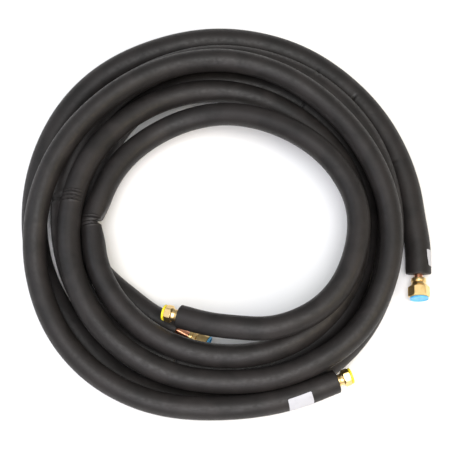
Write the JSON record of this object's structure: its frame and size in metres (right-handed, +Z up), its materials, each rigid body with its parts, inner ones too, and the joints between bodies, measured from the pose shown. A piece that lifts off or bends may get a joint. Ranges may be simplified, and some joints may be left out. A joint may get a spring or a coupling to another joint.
{
  "type": "insulated copper line set",
  "caption": "Coil of two copper refrigerant lines in black foam sleeves, with a capped brass flare nut on each end.",
  "frame": {"origin": "on the floor under the coil, in the middle of its outline", "axes": "+Z up through the coil's eye; +X towards the side where the suction line's outer end comes down; -Y towards the liquid line's outer end"},
  "size_m": [0.469, 0.4748, 0.0862],
  "materials": {
    "foam": "matt closed-cell elastomer foam, faintly grained",
    "copper": "bright drawn copper",
    "brass": "bright forged and machined brass",
    "yellow_plastic": "glossy soft plastic",
    "blue_plastic": "glossy soft plastic",
    "label": "plain coated sticker, blank"
  },
  "bodies": {
    "coil": {"suction_line_foam": "foam", "suction_line_copper": "copper", "suction_line_label": "label", "liquid_line_foam": "foam", "liquid_line_copper": "copper", "liquid_line_label": "label"},
    "liquid_inner_nut": {"liquid_inner_flare_nut": "brass", "liquid_inner_cap": "yellow_plastic"},
    "liquid_outer_nut": {"liquid_outer_flare_nut": "brass", "liquid_outer_cap": "yellow_plastic"},
    "suction_outer_nut": {"suction_outer_flare_nut": "brass", "suction_outer_cap": "blue_plastic"},
    "suction_inner_nut": {"suction_inner_flare_nut": "brass", "suction_inner_cap": "blue_plastic"}
  },
  "joints": [
    {"name": "liquid_inner_nut_spin", "type": "hinge", "parent": "coil", "child": "liquid_inner_nut", "pos_m": [-0.05196, -0.1249, 0.05774], "axis": [-0.9283, 0.3006, -0.2189], "continuous": true},
    {"name": "liquid_outer_nut_spin", "type": "hinge", "parent": "coil", "child": "liquid_outer_nut", "pos_m": [0.12232, -0.19388, 0.03887], "axis": [0.9288, 0.3698, -0.0224], "continuous": true},
    {"name": "suction_outer_nut_spin", "type": "hinge", "parent": "coil", "child": "suction_outer_nut", "pos_m": [0.21911, -0.06998, 0.01476], "axis": [-0.0033, -1, 0], "continuous": true},
    {"name": "suction_inner_nut_spin", "type": "hinge", "parent": "coil", "child": "suction_inner_nut", "pos_m": [-0.04154, -0.13704, 0.01476], "axis": [0.8864, -0.4629, 0], "continuous": true}
  ]
}
